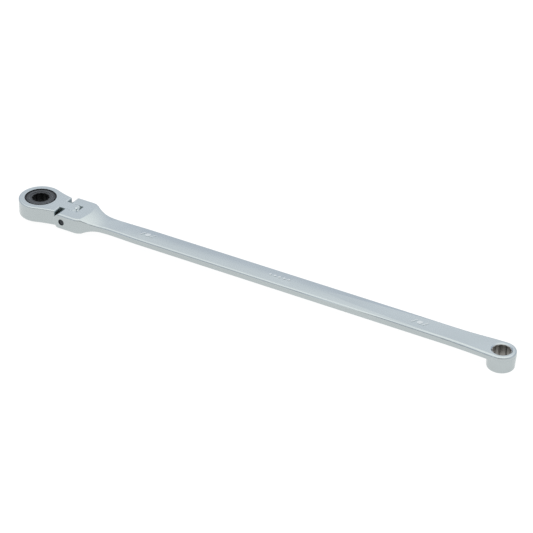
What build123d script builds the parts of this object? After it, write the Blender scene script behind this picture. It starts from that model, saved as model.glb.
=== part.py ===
"""Long flex-head ratcheting ring wrench, 8 mm across flats, in millimetres.

X runs along the wrench, from the ratcheting ring to the fixed ring. Z points up along the axes of
both rings. Z = 0 is the foot of the fixed ring, and the origin is under the middle of the length.
"""

import os
from math import cos, pi, radians, sin

from build123d import *

# Whole wrench
overall_length = 280.0
across_flats = 8.0
clearance = 0.05

# Ratchet head
head_radius = 11.4
head_base = 2.44
head_height = 8.65
head_edge = 0.75
shoulder_distance = 14.25
shoulder_half_width = 8.05
neck_start_angle = 70.0
neck_curve_radius = 55.0
tang_half_width = 3.1
tang_end_radius = 4.95

# Bore and gear, heights above the base of the head
gear_bore_radius = 8.37
lip_height = 1.2
lip_radius = 7.37
groove_radius = 8.78
groove_floor = 7.7
groove_height = 0.6
tooth_count = 72
gear_tip_radius = 8.30
gear_root_radius = 7.82
gear_hub_radius = 7.30
band_floor = 1.25
band_height = 6.4
gear_floor = 0.1
gear_height = 8.45
gear_edge = 0.25
gear_step_radius = 5.9
gear_step_depth = 0.2
steep_flank_degrees = 0.6
ring_inner_radius = 7.42
ring_outer_radius = 8.70
ring_thickness = 0.5
ring_gap_degrees = 36.0

# Pawl and its pocket, distances from the centre of the gear
pawl_half_width = 3.0
pawl_height = 4.5
pawl_back = 11.2
pocket_end = 12.9
spring_seat_depth = 0.5
spring_hole_radius = 1.2
spring_hole_depth = 1.9
mesh_gap = 0.08

# Springs
spring_coil_radius = 0.85
spring_wire = 0.3
spring_end_gap = 0.02
pawl_spring_turns = 5
detent_spring_turns = 6

# Hinge
pin_distance = 19.4
pin_radius = 1.75
pin_recess = 0.6
pin_edge = 0.25
pin_dimple_radius = 0.8
ear_radius = 4.6
fork_half_width = 9.8
fork_edge = 1.1
slot_half_width = 3.2
slot_reach = 5.35

# Detent
ball_radius = 1.2
notch_depth = 0.33
notch_step = 15
last_notch = 60
detent_bore_end = 13.3

# Shank
crown_radius = 45.0
shank_half_width = 5.8
shank_thickness = 4.3
shank_waist = 5.35
shank_edge = 0.9
shank_rise = 0.8
fork_shoulder = 27.0
fork_shoulder_radius = 4.85
fork_shoulder_turn = 31.0
blend_end = 40.5
blend_radius = 21.0
blend_turn = 36.0
crest_radius = 4.0
waist_distance = 46.0
straight_start = 64.0
shank_middle = 150.0
flare_start = 232.0
flare_middle = 249.0
flare_half_width = 6.4
underside_swell = 0.5
stretch_inset = 0.02

# Raised devices on the shank
mark_height = 0.16
mark_distances = (66.0, 219.0)
mark_size = 1.5
mark_line = 0.6
mark_bar = 3.8
mark_spacing = 3.0
diamond_pitch = 2.6
diamond_side = 1.2

# Fixed ring
ring_radius = 7.1
ring_foot_radius = 6.7
ring_height = 9.45
ring_taper_top = 6.6
ring_edge = 0.9
ring_swell = 2.0
lead_in = 0.6

ratchet_x = -overall_length / 2 + head_radius
ring_x = overall_length / 2 - ring_radius
pin_x = ratchet_x + pin_distance
end_x = ring_x + 2 * ring_radius
head_top = head_base + head_height
mid_height = head_base + head_height / 2
tip_radius = across_flats / 2 / cos(pi / 6)
valley_radius = across_flats / 2 / cos(pi / 12)


def along(distance):
    """X of a point at this distance from the centre of the ratcheting ring."""
    return ratchet_x + distance


def head_plane(height):
    """Level plane on the gear's axis, at this height above the base of the head."""
    return Plane((ratchet_x, 0, head_base + height))


def polar(radius, degrees):
    return (radius * cos(radians(degrees)), radius * sin(radians(degrees)))


def twelve_points():
    """Corners of two crossed hexagons, the shape of a twelve-point socket."""
    return [polar(valley_radius if i % 2 else tip_radius, 15 * i) for i in range(24)]


def saw_teeth(gap, shift):
    """Corners of the ratchet teeth, grown outwards by a gap and turned by a sideways shift."""
    turn = shift / gear_tip_radius * 180 / pi
    corners = []
    for i in range(tooth_count):
        angle = i * 360 / tooth_count + turn
        corners.append(polar(gear_tip_radius + gap, angle))
        corners.append(polar(gear_root_radius + gap, angle + steep_flank_degrees))
    return corners


def coil_spring(start_x, finish_x, turns):
    """A coil of round wire along X that fills the gap between its two seats."""
    rise = finish_x - start_x - spring_wire - 2 * spring_end_gap
    with BuildPart() as spring:
        with BuildLine() as coil:
            Helix(
                pitch=rise / turns,
                height=rise,
                radius=spring_coil_radius,
                center=(start_x + spring_wire / 2 + spring_end_gap, 0, mid_height),
                direction=(1, 0, 0),
            )
        with BuildSketch(Plane(coil.line @ 0, z_dir=coil.line % 0)):
            Circle(spring_wire / 2)
        sweep(path=coil.line)
    return spring


# ---------------------------------------------------------------- head housing
neck_x, neck_y = polar(head_radius, neck_start_angle)
with BuildPart() as head_housing:
    with BuildSketch(head_plane(0)):
        with BuildLine():
            ThreePointArc((neck_x, neck_y), (-head_radius, 0), (neck_x, -neck_y))
            RadiusArc(
                (shoulder_distance, shoulder_half_width), (neck_x, neck_y), neck_curve_radius
            )
            RadiusArc(
                (neck_x, -neck_y), (shoulder_distance, -shoulder_half_width), neck_curve_radius
            )
            Line(
                (shoulder_distance, -shoulder_half_width),
                (shoulder_distance, shoulder_half_width),
            )
        make_face()
    extrude(amount=head_height)
    fillet(head_housing.edges().filter_by(Axis.Z).group_by(Axis.X)[-1], head_edge)
    fillet(head_housing.faces().filter_by(Axis.Z).edges(), head_edge)
    # Tang that enters the fork
    with BuildSketch(Plane.XZ.offset(-tang_half_width)):
        with Locations((pin_x, mid_height)):
            Circle(tang_end_radius)
            Rectangle(
                pin_distance - shoulder_distance + 1, head_height, align=(Align.MAX, Align.CENTER)
            )
            Rectangle(4 * tang_end_radius, head_height, mode=Mode.INTERSECT)
    extrude(amount=2 * tang_half_width)
    # Stepped bore for the gear, with a groove for the retaining ring
    with BuildSketch(head_plane(0)):
        Circle(lip_radius)
    extrude(amount=head_height, mode=Mode.SUBTRACT)
    with BuildSketch(head_plane(lip_height)):
        Circle(gear_bore_radius)
    extrude(amount=head_height - lip_height, mode=Mode.SUBTRACT)
    with BuildSketch(head_plane(groove_floor)):
        Circle(groove_radius)
    extrude(amount=groove_height, mode=Mode.SUBTRACT)
    # Pocket for the pawl, and the seat of its spring
    with BuildSketch(head_plane((head_height - pawl_height) / 2 - clearance)):
        Rectangle(
            pocket_end, 2 * (pawl_half_width + clearance), align=(Align.MIN, Align.CENTER)
        )
    extrude(amount=pawl_height + 2 * clearance, mode=Mode.SUBTRACT)
    with BuildSketch(Plane.YZ.offset(along(pocket_end))):
        with Locations((0, mid_height)):
            Circle(spring_hole_radius)
    extrude(amount=spring_seat_depth, mode=Mode.SUBTRACT)
    # Pin bore
    with BuildSketch(Plane.XZ.offset(-tang_half_width)):
        with Locations((pin_x, mid_height)):
            Circle(pin_radius + clearance)
    extrude(amount=2 * tang_half_width, mode=Mode.SUBTRACT)
    # Detent dimples round the end of the tang
    for angle in range(-last_notch, last_notch + 1, notch_step):
        notch_x, notch_z = polar(tang_end_radius - notch_depth + ball_radius, angle)
        with Locations((pin_x + notch_x, 0, mid_height + notch_z)):
            Sphere(ball_radius + clearance, mode=Mode.SUBTRACT)
head_housing.part.label = "head_housing"

# ---------------------------------------------------------------- drive gear
with BuildPart() as drive_gear:
    with BuildSketch(head_plane(gear_floor)):
        Circle(gear_hub_radius)
    extrude(amount=gear_height)
    chamfer(drive_gear.edges().filter_by(GeomType.CIRCLE), gear_edge)
    with BuildSketch(head_plane(band_floor)):
        Polygon(*saw_teeth(0, 0), align=None)
    extrude(amount=band_height)
    # Shallow step round the opening, on both faces
    for floor in (gear_floor, gear_floor + gear_height - gear_step_depth):
        with BuildSketch(head_plane(floor)):
            Circle(gear_step_radius)
        extrude(amount=gear_step_depth, mode=Mode.SUBTRACT)
    with BuildSketch(head_plane(gear_floor)):
        Polygon(*twelve_points(), align=None)
    extrude(amount=gear_height, mode=Mode.SUBTRACT)
drive_gear.part.label = "drive_gear"

# ---------------------------------------------------------------- retaining ring
with BuildPart() as retaining_ring:
    with BuildSketch(head_plane(groove_floor + (groove_height - ring_thickness) / 2)):
        with BuildLine():
            half_gap = ring_gap_degrees / 2
            outer = CenterArc((0, 0), ring_outer_radius, half_gap, 360 - ring_gap_degrees)
            inner = CenterArc((0, 0), ring_inner_radius, half_gap, 360 - ring_gap_degrees)
            Line(outer @ 0, inner @ 0)
            Line(outer @ 1, inner @ 1)
        make_face()
    extrude(amount=ring_thickness)
retaining_ring.part.label = "retaining_ring"

# ---------------------------------------------------------------- pawl and its spring
with BuildPart() as pawl:
    with BuildSketch(head_plane((head_height - pawl_height) / 2)):
        with Locations((gear_root_radius, 0)):
            Rectangle(
                pawl_back - gear_root_radius,
                2 * pawl_half_width,
                align=(Align.MIN, Align.CENTER),
            )
        Polygon(*saw_teeth(mesh_gap, clearance), align=None, mode=Mode.SUBTRACT)
        Circle(gear_root_radius + mesh_gap, mode=Mode.SUBTRACT)
    extrude(amount=pawl_height)
    with BuildSketch(Plane.YZ.offset(along(pawl_back - spring_hole_depth))):
        with Locations((0, mid_height)):
            Circle(spring_hole_radius)
    extrude(amount=spring_hole_depth, mode=Mode.SUBTRACT)
pawl.part.label = "pawl"

pawl_spring = coil_spring(
    along(pawl_back - spring_hole_depth), along(pocket_end + spring_seat_depth), pawl_spring_turns
)
pawl_spring.part.label = "pawl_spring"


# ---------------------------------------------------------------- handle
def handle_outline(height, inset):
    """Plan of the handle at a height: fork, waist, straight shank, flare and round end."""
    ring_side = ring_radius - inset
    fork_width = fork_half_width - inset
    with BuildSketch(Plane.XY.offset(height)) as outline:
        with BuildLine():
            fork_side = Line(
                (along(pin_distance - ear_radius), fork_width), (along(fork_shoulder), fork_width)
            )
            shoulder = JernArc(fork_side @ 1, (1, 0), fork_shoulder_radius, -fork_shoulder_turn)
            waist = Spline(
                shoulder @ 1,
                (along(waist_distance), shank_waist - inset),
                tangents=(shoulder % 1, (1, 0)),
            )
            swell = Spline(
                waist @ 1,
                (along(straight_start), shank_half_width - inset),
                tangents=((1, 0), (1, 0)),
            )
            straight = Line(swell @ 1, (along(flare_start), shank_half_width - inset))
            flare = Spline(
                straight @ 1,
                (along(flare_middle), flare_half_width - inset),
                (ring_x, ring_side),
                tangents=((1, 0), (1, 0)),
            )
            for stretch in (fork_side, shoulder, waist, swell, straight, flare):
                mirror(stretch, about=Plane.XZ)
            ThreePointArc(flare @ 1, (ring_x + ring_side, 0), (ring_x, -ring_side))
            Line(fork_side @ 0, ((fork_side @ 0).X, -fork_width))
        make_face()
    return outline.sketch


def rim_edges(solid):
    """Long edges of the upright sides, without the fork's open end."""
    rim = []
    for face in solid.faces():
        if abs(face.normal_at().Z) < 0.02 and face.center().X > pin_x:
            for edge in face.edges():
                step = edge @ 1 - edge @ 0
                if abs(step.X) + abs(step.Y) > 0.01:
                    rim.append(edge)
    return rim


def crown_side(middle, swell_height, direction, lift):
    """One crowned face of the shank as a solid of revolution that ends at that face.

    middle is the face's height at the blend, and direction is 1 for the top and -1 for the
    underside. The face swells by swell_height towards the ring. lift moves the whole face out.
    """
    axis_height = middle - direction * crown_radius
    with BuildPart() as crown:
        with BuildSketch(Plane.XZ):
            with BuildLine():
                start = Vector(along(blend_end), middle + direction * lift)
                turn = Vector(along(flare_start), start.Y + shank_rise)
                slope = Line(start, turn)
                hollow = JernArc(start, slope % 0 * -1, blend_radius, -direction * blend_turn)
                crest = JernArc(hollow @ 1, hollow % 1, crest_radius, direction * blend_turn)
                swell = TangentArc(turn, (end_x, turn.Y + swell_height), tangent=slope % 1)
                Polyline(
                    swell @ 1,
                    (end_x, axis_height),
                    (along(0), axis_height),
                    (along(0), (crest @ 1).Y),
                    crest @ 1,
                )
            make_face()
        revolve(axis=Axis((0, 0, axis_height), (1, 0, 0)))
    return crown.part


def shank_top(lift):
    return crown_side(mid_height + shank_thickness / 2, ring_swell, 1, lift)


def raised_devices():
    """Plain raised devices: a row of diamonds, and two hexagons between slanted bars."""
    with BuildSketch(Plane.XY.offset(mid_height)) as devices:
        for distance in mark_distances:
            with Locations((along(distance), 0)):
                RegularPolygon(mark_size, 6)
            for side in (-1, 1):
                with Locations(Location((along(distance) + side * mark_spacing, 0), -30)):
                    Rectangle(mark_line, mark_bar)
        middle = along(sum(mark_distances) / 2)
        for step in range(-2, 3):
            with Locations(Location((middle + step * diamond_pitch, 0), 45)):
                Rectangle(diamond_side, diamond_side)
    return devices.sketch


# Crowned body with rounded rims: it shows along the shank
with BuildPart() as crowned:
    add(handle_outline(-head_top, 0))
    extrude(amount=3 * head_top)
    add(shank_top(0), mode=Mode.INTERSECT)
    add(crown_side(mid_height - shank_thickness / 2, underside_swell, -1, 0), mode=Mode.INTERSECT)
    fillet(rim_edges(crowned), shank_edge)



def flat_stretch(floor, top, low_x, high_x):
    """Stretch of the handle, with flat faces and rounded rims where the crown rises past them."""
    with BuildPart() as stretch:
        add(handle_outline(floor, stretch_inset))
        extrude(amount=top - floor)
        fillet(rim_edges(stretch), fork_edge)
        add(crowned, mode=Mode.INTERSECT)
        with BuildSketch(Plane.XY):
            with Locations((low_x, 0)):
                Rectangle(high_x - low_x, 4 * fork_half_width, align=(Align.MIN, Align.CENTER))
        extrude(amount=2 * head_top, mode=Mode.INTERSECT)
    return stretch.part


with BuildPart() as devices:
    add(raised_devices())
    extrude(amount=ring_height + mark_height - mid_height)
    add(shank_top(mark_height), mode=Mode.INTERSECT)

with BuildPart() as handle:
    # Flat faces at the fork and at the ring, crowned faces between them
    add(flat_stretch(head_base, head_top, along(0), along(shank_middle)))
    add(flat_stretch(0, ring_height, along(shank_middle), end_x))
    add(devices)
    # Rounded ears
    with BuildSketch(Plane.XZ):
        with Locations((pin_x, mid_height)):
            Circle(ear_radius)
            Rectangle(overall_length, 4 * head_height, align=(Align.MIN, Align.CENTER))
    extrude(amount=2 * fork_half_width, both=True, mode=Mode.INTERSECT)
    # Deep ring: a slightly tapered boss below the shank
    with BuildSketch(Plane.XZ):
        with BuildLine():
            Polyline(
                (ring_x, 0),
                (ring_x + ring_foot_radius, 0),
                (ring_x + ring_radius, ring_taper_top),
                (ring_x + ring_radius, ring_height - 2 * fork_edge),
                (ring_x, ring_height - 2 * fork_edge),
                close=True,
            )
        make_face()
    revolve(axis=Axis((ring_x, 0, 0), (0, 0, 1)))
    fillet(handle.edges().filter_by(GeomType.CIRCLE).group_by(Axis.Z)[0], ring_edge)
    # Twelve-point opening with a lead-in at each face
    with BuildSketch(Plane((ring_x, 0, 0))):
        Polygon(*twelve_points(), align=None)
    extrude(amount=ring_height, mode=Mode.SUBTRACT)
    with Locations((ring_x, 0, ring_height - lead_in / 2)):
        Cone(tip_radius, tip_radius + lead_in, lead_in, mode=Mode.SUBTRACT)
    with Locations((ring_x, 0, lead_in / 2)):
        Cone(tip_radius + lead_in, tip_radius, lead_in, mode=Mode.SUBTRACT)
    # Slot, pin holes and detent bore
    with BuildSketch(Plane((along(0), 0, 0))):
        Rectangle(
            pin_distance + slot_reach, 2 * slot_half_width, align=(Align.MIN, Align.CENTER)
        )
    extrude(amount=2 * head_top, mode=Mode.SUBTRACT)
    with Locations(Location((pin_x, 0, mid_height), (90, 0, 0))):
        Cylinder(pin_radius, 4 * fork_half_width, mode=Mode.SUBTRACT)
    with BuildSketch(Plane.YZ.offset(pin_x)):
        with Locations((0, mid_height)):
            Circle(ball_radius + clearance)
    extrude(amount=detent_bore_end, mode=Mode.SUBTRACT)
handle.part.label = "handle"

# ---------------------------------------------------------------- hinge pin
with BuildPart() as hinge_pin:
    half_pin = fork_half_width - pin_recess
    with Locations(Location((pin_x, 0, mid_height), (90, 0, 0))):
        Cylinder(pin_radius, 2 * half_pin)
    chamfer(hinge_pin.edges().filter_by(GeomType.CIRCLE), pin_edge)
    for side in (-1, 1):
        with Locations((pin_x, side * (half_pin + pin_dimple_radius / 2), mid_height)):
            Sphere(pin_dimple_radius, mode=Mode.SUBTRACT)
hinge_pin.part.label = "hinge_pin"

# ---------------------------------------------------------------- detent
ball_x = pin_x + tang_end_radius - notch_depth + ball_radius
with BuildPart() as detent_ball:
    with Locations((ball_x, 0, mid_height)):
        Sphere(ball_radius)
detent_ball.part.label = "detent_ball"

ball_back = ball_x + (ball_radius**2 - (spring_coil_radius - spring_wire / 2) ** 2) ** 0.5
detent_spring = coil_spring(ball_back, pin_x + detent_bore_end, detent_spring_turns)
detent_spring.part.label = "detent_spring"

# ---------------------------------------------------------------- files
os.makedirs("parts", exist_ok=True)
export_step(handle.part, "parts/handle.step")
export_step(head_housing.part, "parts/head_housing.step")
export_step(drive_gear.part, "parts/drive_gear.step")
export_step(retaining_ring.part, "parts/retaining_ring.step")
export_step(pawl.part, "parts/pawl.step")
export_step(pawl_spring.part, "parts/pawl_spring.step")
export_step(hinge_pin.part, "parts/hinge_pin.step")
export_step(detent_ball.part, "parts/detent_ball.step")
export_step(detent_spring.part, "parts/detent_spring.step")
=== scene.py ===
from math import cos, pi, radians, sin

import bpy
from mathutils import Matrix, Vector


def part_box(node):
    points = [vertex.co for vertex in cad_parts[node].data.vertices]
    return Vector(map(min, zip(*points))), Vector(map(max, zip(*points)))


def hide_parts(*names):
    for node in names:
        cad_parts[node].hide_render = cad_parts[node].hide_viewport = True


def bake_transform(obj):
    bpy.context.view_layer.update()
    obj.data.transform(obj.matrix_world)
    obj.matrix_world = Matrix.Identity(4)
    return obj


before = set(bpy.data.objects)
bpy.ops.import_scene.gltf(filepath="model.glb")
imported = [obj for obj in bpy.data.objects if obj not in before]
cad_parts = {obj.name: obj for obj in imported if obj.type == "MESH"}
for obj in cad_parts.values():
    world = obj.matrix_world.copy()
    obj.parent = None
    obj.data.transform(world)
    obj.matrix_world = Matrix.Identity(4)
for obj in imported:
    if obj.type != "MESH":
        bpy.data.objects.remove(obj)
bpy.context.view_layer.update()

MM = 0.001
MICRON = 1e-6

# Camera: a long lens that looks down on the wrench from its near side
CAMERA_AZIMUTH = radians(29.71)
CAMERA_ELEVATION = radians(32.56)
CAMERA_ROLL = radians(0.83)
CAMERA_DISTANCE = 1.002
CAMERA_REACH = 20.0
CAMERA_LENS = 137.49
SENSOR = 36.0
AIM_HEIGHT = 6.0 * MM
AIM_RIGHT = 5.68 * MM
AIM_UP = 4.15 * MM

# Studio: walls up to one height and a brighter ceiling from another, with heights as the
# upward part of a direction
WALL_COLOUR = (0.70, 0.765, 0.90)
WALL_TOP = 0.30
CEILING_COLOUR = (1.58, 1.57, 1.55)
CEILING_START = 0.90

# Darker opening low on the camera's side: how far down its middle lies for one unit toward
# the camera, and the dot products with that line between which it fades in
OPENING_COLOUR = (0.42, 0.41, 0.41)
OPENING_DROP = 0.9
OPENING_FADE = (0.25, 0.6)

# Floor, which glows like a light table so that the wrench's shadow hardly shows
FLOOR_SIZE = 6.0
FLOOR_COLOUR = (0.10, 0.10, 0.10)
FLOOR_ROUGHNESS = 0.9
FLOOR_GLOW = 0.95

# Crowned top of the shank between the fork and the ring, as (x, z) of its crest line,
# and the height at which the flat top of the ring end cuts it
TOP_START = (-88.1 * MM, 8.915 * MM)
TOP_END = (103.4 * MM, 9.715 * MM)
CROWN_RADIUS = 45.0 * MM
FLAT_TOP = 9.45 * MM

# Raised devices on that top: the stretch they lie in, and the heights above the crown
# between which their finish takes over
DEVICES = (-68.0 * MM, 96.0 * MM)
PROUD = (0.04 * MM, 0.12 * MM)

# The fixed ring's outer radius, and a radius just past the points of either socket
RING_RADIUS = 7.1 * MM
SOCKET_RADIUS = 4.75 * MM
SOCKET_SOFTNESS = 0.1 * MM

# Edges, worn on the oxide and partly painted as a highlight on the chrome: how far from an
# edge it reaches, and how much the normals have to disagree for it to start and to be full
EDGE_WEAR_AND_HIGHLIGHT = 0.45 * MM
EDGE_SAMPLES = 8
EDGE_START = 0.01
EDGE_FULL = 0.10

# Most of a noise texture's values lie in this range
NOISE_RANGE = (0.3, 0.7)

# Chrome, as (colour, roughness)
PLATE = ((0.46, 0.505, 0.51), 0.2)
# Inside the ring's socket the plate is painted darker, as shade in the bore, and is more matt
SHADED_SOCKET_PLATE = ((0.27, 0.265, 0.25), 0.32)
# Raised devices: a more matt finish, and a colour painted brighter as a sheen
RAISED_PLATE_AND_SHEEN = ((0.60, 0.63, 0.625), 0.4)

# Black oxide, as (face colour, rubbed edge colour, roughness)
GEAR_OXIDE = ((0.072, 0.078, 0.082), (0.17, 0.18, 0.19), 0.42)
RETAINER_OXIDE = ((0.012, 0.013, 0.014), (0.06, 0.06, 0.065), 0.35)
PIN_OXIDE = ((0.05, 0.055, 0.06), (0.15, 0.16, 0.17), 0.38)

# Springs; the pitch of a closed end turn is in wire diameters
WIRE_COLOUR = (0.52, 0.53, 0.54)
WIRE_DIAMETER = 0.3 * MM
WIRE_SIDES = 12
TURN_STEPS = 32
CLOSED_PITCH = 1.08
PAWL_SPRING_TURNS = 5
DETENT_SPRING_TURNS = 6


class Nodes:
    """Short way to write the nodes of a material or of the world.

    Its place is a point of the object, or a direction in the world.
    """

    def __init__(self, owner, coordinates):
        owner.use_nodes = True
        self.tree = owner.node_tree
        self.place = self.add("ShaderNodeTexCoord").outputs[coordinates]

    def add(self, kind, **settings):
        node = self.tree.nodes.new(kind)
        for key, value in settings.items():
            setattr(node, key, value)
        return node

    def feed(self, socket, value):
        """Gives a socket another node's output or a fixed value."""
        if isinstance(value, bpy.types.NodeSocket):
            self.tree.links.new(value, socket)
        else:
            socket.default_value = value

    def split(self, vector):
        node = self.add("ShaderNodeSeparateXYZ")
        self.feed(node.inputs["Vector"], vector)
        return node.outputs

    def vector_maths(self, operation, *values):
        """The result is a vector, or a number for a dot product or a length."""
        node = self.add("ShaderNodeVectorMath", operation=operation)
        for socket, value in zip(node.inputs, values):
            self.feed(socket, value)
        is_number = operation in ("DOT_PRODUCT", "LENGTH")
        return node.outputs["Value" if is_number else "Vector"]

    def maths(self, operation, *values):
        node = self.add("ShaderNodeMath", operation=operation)
        for socket, value in zip(node.inputs, values):
            self.feed(socket, value)
        return node.outputs["Value"]

    def ramp(self, value, start, end, low=0.0, high=1.0, clamp=True):
        """Goes from low to high while the value goes from start to end."""
        node = self.add("ShaderNodeMapRange", clamp=clamp)
        node.inputs["From Min"].default_value = start
        node.inputs["From Max"].default_value = end
        node.inputs["To Min"].default_value = low
        node.inputs["To Max"].default_value = high
        self.feed(node.inputs["Value"], value)
        return node.outputs["Result"]

    def mix(self, factor, first, second):
        """Mixes two colours; each is a colour or another node's output."""
        node = self.add("ShaderNodeMix", data_type="RGBA")
        self.feed(node.inputs["Factor"], factor)
        # Inputs 6 and 7 are the colours A and B, and output 2 is their mix
        for socket, colour in ((node.inputs[6], first), (node.inputs[7], second)):
            self.feed(socket, (*colour, 1) if isinstance(colour, tuple) else colour)
        return node.outputs[2]

    def noise(self, scale, detail, stretch=(1, 1, 1)):
        """Noise with this many cells to a metre; an axis below 1 has longer cells."""
        mapping = self.add("ShaderNodeMapping")
        mapping.inputs["Scale"].default_value = stretch
        self.feed(mapping.inputs["Vector"], self.place)
        noise = self.add("ShaderNodeTexNoise")
        noise.inputs["Scale"].default_value = scale
        noise.inputs["Detail"].default_value = detail
        self.feed(noise.inputs["Vector"], mapping.outputs["Vector"])
        return noise.outputs["Fac"]

    def edges(self):
        """1 along edges, 0 on faces, where a rounded normal leaves the face's own: wear, and
        on chrome partly a painted highlight.
        """
        own = self.add("ShaderNodeNewGeometry").outputs["Normal"]
        rounded = self.add("ShaderNodeBevel", samples=EDGE_SAMPLES)
        rounded.inputs["Radius"].default_value = EDGE_WEAR_AND_HIGHLIGHT
        agreement = self.vector_maths("DOT_PRODUCT", own, rounded.outputs["Normal"])
        return self.ramp(agreement, 1 - EDGE_FULL, 1 - EDGE_START, low=1.0, high=0.0)

    def bump(self, height, distance, strength):
        node = self.add("ShaderNodeBump")
        node.inputs["Strength"].default_value = strength
        node.inputs["Distance"].default_value = distance
        self.feed(node.inputs["Height"], height)
        return node.outputs["Normal"]


def view_axes(azimuth, elevation, roll):
    """Right, up and back directions of a camera that looks along +Y at azimuth 0."""
    back = Vector(
        (
            sin(azimuth) * cos(elevation),
            -cos(azimuth) * cos(elevation),
            sin(elevation),
        )
    )
    right = Vector((0, 0, 1)).cross(back).normalized()
    up = back.cross(right)
    turned_right = right * cos(roll) + up * sin(roll)
    turned_up = up * cos(roll) - right * sin(roll)
    return turned_right, turned_up, back


def make_camera():
    right, up, back = view_axes(CAMERA_AZIMUTH, CAMERA_ELEVATION, CAMERA_ROLL)
    data = bpy.data.cameras.new("camera")
    data.sensor_width = SENSOR
    data.lens = CAMERA_LENS
    data.clip_end = CAMERA_REACH
    camera = bpy.data.objects.new("camera", data)
    place = Vector((0, 0, AIM_HEIGHT)) + back * CAMERA_DISTANCE
    place += right * AIM_RIGHT + up * AIM_UP
    axes = Matrix((right, up, back)).transposed().to_4x4()
    camera.matrix_world = Matrix.Translation(place) @ axes
    bpy.context.collection.objects.link(camera)
    bpy.context.scene.camera = camera


def make_light():
    world = bpy.data.worlds.new("studio")
    bpy.context.scene.world = world
    nodes = Nodes(world, "Generated")
    direction = nodes.place
    height = nodes.split(direction)["Z"]
    ceiling = nodes.ramp(height, WALL_TOP, CEILING_START)
    room = nodes.mix(ceiling, WALL_COLOUR, CEILING_COLOUR)
    middle = (sin(CAMERA_AZIMUTH), -cos(CAMERA_AZIMUTH), -OPENING_DROP)
    facing = nodes.vector_maths("DOT_PRODUCT", direction, middle)
    studio = nodes.mix(nodes.ramp(facing, *OPENING_FADE), room, OPENING_COLOUR)
    nodes.feed(nodes.tree.nodes["Background"].inputs["Color"], studio)
    bpy.context.scene.view_settings.view_transform = "Standard"
    bpy.context.scene.view_settings.look = "None"


def make_floor():
    mesh = bpy.data.meshes.new("floor")
    half = FLOOR_SIZE / 2
    corners = [(-half, -half, 0), (half, -half, 0), (half, half, 0), (-half, half, 0)]
    mesh.from_pydata(corners, [], [(0, 1, 2, 3)])
    floor = bpy.data.objects.new("floor", mesh)
    bpy.context.collection.objects.link(floor)
    material = bpy.data.materials.new("floor_paper")
    material.use_nodes = True
    shader = material.node_tree.nodes["Principled BSDF"]
    shader.inputs["Base Color"].default_value = (*FLOOR_COLOUR, 1)
    shader.inputs["Roughness"].default_value = FLOOR_ROUGHNESS
    shader.inputs["Specular IOR Level"].default_value = 0.0
    shader.inputs["Emission Color"].default_value = (1, 1, 1, 1)
    shader.inputs["Emission Strength"].default_value = FLOOR_GLOW
    mesh.materials.append(material)


def shade(colour, factor):
    return tuple(factor * part for part in colour)


def make_metal(name, metallic):
    """A new material, the helper that writes its nodes, and its shader."""
    material = bpy.data.materials.new(name)
    nodes = Nodes(material, "Object")
    shader = nodes.tree.nodes["Principled BSDF"]
    shader.inputs["Metallic"].default_value = metallic
    return material, nodes, shader


def socket_mask(nodes, centre):
    """1 inside the vertical socket at this centre, 0 outside it."""
    offset = (-centre[0], -centre[1], 0)
    flat = nodes.vector_maths("MULTIPLY_ADD", nodes.place, (1, 1, 0), offset)
    reach = nodes.vector_maths("LENGTH", flat)
    start = SOCKET_RADIUS - SOCKET_SOFTNESS
    return nodes.ramp(reach, start, SOCKET_RADIUS, low=1.0, high=0.0)


def raised_mask(nodes):
    """1 on the devices that stand proud of the crowned top of the shank."""
    along, across, height = nodes.split(nodes.place)
    crest = nodes.ramp(along, TOP_START[0], TOP_END[0], TOP_START[1], TOP_END[1], clamp=False)
    square = nodes.maths("MULTIPLY", across, across)
    fall = nodes.maths("DIVIDE", square, 2 * CROWN_RADIUS)
    crown = nodes.maths("SUBTRACT", crest, fall)
    top = nodes.maths("MINIMUM", crown, FLAT_TOP)
    proud = nodes.ramp(nodes.maths("SUBTRACT", height, top), *PROUD)
    past_start = nodes.maths("GREATER_THAN", along, DEVICES[0])
    before_end = nodes.maths("LESS_THAN", along, DEVICES[1])
    inside = nodes.maths("MULTIPLY", past_start, before_end)
    return nodes.maths("MULTIPLY", proud, inside)


def chrome(name, socket_centre=None, raised=False):
    """Satin chrome plate: polishing haze, fine grain and edges painted brighter, partly wear
    and partly a painted highlight.

    A socket is painted darker and greyer, as shade in its bore, and is duller; raised devices
    are painted brighter as a sheen and are more matt.
    """
    material, nodes, shader = make_metal(name, metallic=1.0)
    tint, roughness = PLATE
    hazy, rubbed_and_highlit = shade(tint, 0.93), shade(tint, 1.2)
    haze = nodes.noise(scale=60.0, detail=4.0, stretch=(0.4, 1, 1))
    grain = nodes.noise(scale=2600.0, detail=2.0, stretch=(0.12, 1, 1))
    plate = nodes.mix(nodes.ramp(haze, *NOISE_RANGE), hazy, tint)
    # Edges get the brighter colour: partly rubbed wear, partly a painted highlight on the rims
    colour = nodes.mix(nodes.edges(), plate, rubbed_and_highlit)
    rough = nodes.maths(
        "ADD",
        nodes.ramp(haze, *NOISE_RANGE, low=0.8 * roughness, high=1.15 * roughness),
        nodes.ramp(grain, *NOISE_RANGE, low=-0.02, high=0.03),
    )
    patches = []
    # The socket patch is painted shade inside the ring's bore
    if socket_centre:
        patches.append((socket_mask(nodes, socket_centre), SHADED_SOCKET_PLATE))
    # Raised devices are painted brighter as a sheen and made more matt
    if raised:
        patches.append((raised_mask(nodes), RAISED_PLATE_AND_SHEEN))
    for mask, (patch_colour, patch_roughness) in patches:
        colour = nodes.mix(mask, colour, patch_colour)
        change = nodes.ramp(mask, 0.0, 1.0, high=patch_roughness - roughness)
        rough = nodes.maths("ADD", rough, change)
    nodes.feed(shader.inputs["Base Color"], colour)
    nodes.feed(shader.inputs["Roughness"], rough)
    normal = nodes.bump(grain, distance=1.5 * MICRON, strength=0.5)
    nodes.feed(shader.inputs["Normal"], normal)
    return material


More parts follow.
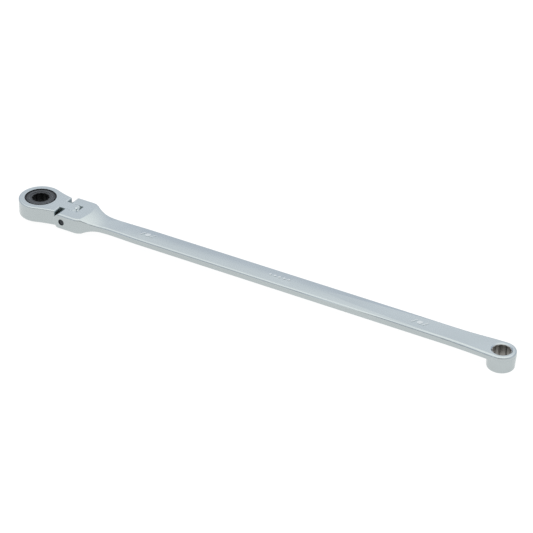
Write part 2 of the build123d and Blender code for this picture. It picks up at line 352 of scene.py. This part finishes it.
def black_oxide(name, finish, centre, has_socket=False):
    """Black oxide over turned steel: faint turning rings about a centre, rubbed edges.

    Inside a socket at that centre the broached flanks are painted darker, as shade inside the
    recess, and less rubbed.
    """
    material, nodes, shader = make_metal(name, metallic=0.85)
    face, edge, roughness = finish
    mottled, socket_shade = shade(face, 0.6), shade(face, 0.22)
    turning = nodes.add("ShaderNodeTexWave", wave_type="RINGS", rings_direction="Z")
    turning.inputs["Scale"].default_value = 700.0
    turning.inputs["Distortion"].default_value = 1.5
    from_centre = nodes.vector_maths("SUBTRACT", nodes.place, centre)
    nodes.feed(turning.inputs["Vector"], from_centre)
    rings = turning.outputs["Fac"]
    mottle = nodes.noise(scale=900.0, detail=4.0)
    oxide = nodes.mix(nodes.ramp(mottle, *NOISE_RANGE), mottled, face)
    colour = nodes.mix(nodes.edges(), oxide, edge)
    if has_socket:
        # Painted shade inside the gear's socket
        colour = nodes.mix(socket_mask(nodes, centre), colour, socket_shade)
    rough = nodes.maths(
        "ADD",
        nodes.ramp(mottle, *NOISE_RANGE, low=0.85 * roughness, high=1.2 * roughness),
        nodes.ramp(rings, 0.0, 1.0, low=-0.03, high=0.03),
    )
    nodes.feed(shader.inputs["Base Color"], colour)
    nodes.feed(shader.inputs["Roughness"], rough)
    normal = nodes.bump(rings, distance=4 * MICRON, strength=0.6)
    nodes.feed(shader.inputs["Normal"], normal)
    return material


def drawn_wire(name):
    """Bright drawn steel with fine streaks across X, so along the wire of a coil about X."""
    material, nodes, shader = make_metal(name, metallic=1.0)
    streaks = nodes.noise(scale=4000.0, detail=3.0, stretch=(1, 0.3, 0.3))
    dull = shade(WIRE_COLOUR, 0.75)
    colour = nodes.mix(nodes.ramp(streaks, *NOISE_RANGE), dull, WIRE_COLOUR)
    nodes.feed(shader.inputs["Base Color"], colour)
    rough = nodes.ramp(streaks, *NOISE_RANGE, low=0.2, high=0.38)
    nodes.feed(shader.inputs["Roughness"], rough)
    normal = nodes.bump(streaks, distance=2 * MICRON, strength=0.5)
    nodes.feed(shader.inputs["Normal"], normal)
    return material


def coil_mesh(name, low, high, turns):
    """A coil along X that fills the box from low to high, with closed end turns."""
    wire_radius = WIRE_DIAMETER / 2
    radius = (high.z - low.z) / 2 - wire_radius
    centre_z = (high.z + low.z) / 2
    closed_pitch = CLOSED_PITCH * WIRE_DIAMETER
    length = high.x - low.x - WIRE_DIAMETER
    open_pitch = (length - 2 * closed_pitch) / (turns - 2)
    steps = turns * TURN_STEPS
    vertices, faces = [], []
    for step in range(steps + 1):
        turn = step / TURN_STEPS
        closed_turns = min(turn, 1.0) + max(turn - (turns - 1), 0.0)
        travel = closed_pitch * closed_turns + open_pitch * (turn - closed_turns)
        angle = 2 * pi * turn
        outward = Vector((0, cos(angle), sin(angle)))
        centre = Vector((low.x + wire_radius + travel, 0, centre_z)) + radius * outward
        for side in range(WIRE_SIDES):
            swing = 2 * pi * side / WIRE_SIDES
            reach = cos(swing) * outward + sin(swing) * Vector((1, 0, 0))
            vertices.append(centre + wire_radius * reach)
    for step in range(steps):
        here = step * WIRE_SIDES
        there = here + WIRE_SIDES
        for side in range(WIRE_SIDES):
            after = (side + 1) % WIRE_SIDES
            faces.append((here + side, here + after, there + after, there + side))
    faces.append(tuple(reversed(range(WIRE_SIDES))))
    faces.append(tuple(steps * WIRE_SIDES + side for side in range(WIRE_SIDES)))
    mesh = bpy.data.meshes.new(name)
    mesh.from_pydata(vertices, [], faces)
    flat_ends = 2
    smooth = [True] * (len(faces) - flat_ends) + [False] * flat_ends
    mesh.polygons.foreach_set("use_smooth", smooth)
    mesh.update()
    return mesh


def coil(node, material, turns):
    """A compression spring in place of a CAD one.

    It fills the box of the CAD spring, which it hides.
    """
    low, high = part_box(node)
    mesh = coil_mesh(f"{node}_coil", low, high, turns)
    mesh.materials.append(material)
    spring = bpy.data.objects.new(f"{node}_coil", mesh)
    bpy.context.collection.objects.link(spring)
    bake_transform(spring)
    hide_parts(node)


def dress(node, material):
    """Gives a CAD node its material."""
    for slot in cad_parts[node].material_slots:
        slot.material = material


make_camera()
make_light()
make_floor()

gear_low, gear_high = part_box("drive_gear")
gear_centre = (gear_low + gear_high) / 2
ring_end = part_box("handle")[1].x
ring_centre = (ring_end - RING_RADIUS, 0.0)

dress("handle", chrome("handle_plate", ring_centre, raised=True))
dress("head_housing", chrome("head_plate"))
dress("drive_gear", black_oxide("gear_oxide", GEAR_OXIDE, gear_centre, has_socket=True))
dress("pawl", black_oxide("pawl_oxide", GEAR_OXIDE, gear_centre))
dress("retaining_ring", black_oxide("ring_oxide", RETAINER_OXIDE, gear_centre))
dress("hinge_pin", black_oxide("pin_oxide", PIN_OXIDE, gear_centre))

wire = drawn_wire("bright_wire")
dress("detent_ball", wire)
coil("pawl_spring", wire, PAWL_SPRING_TURNS)
coil("detent_spring", wire, DETENT_SPRING_TURNS)
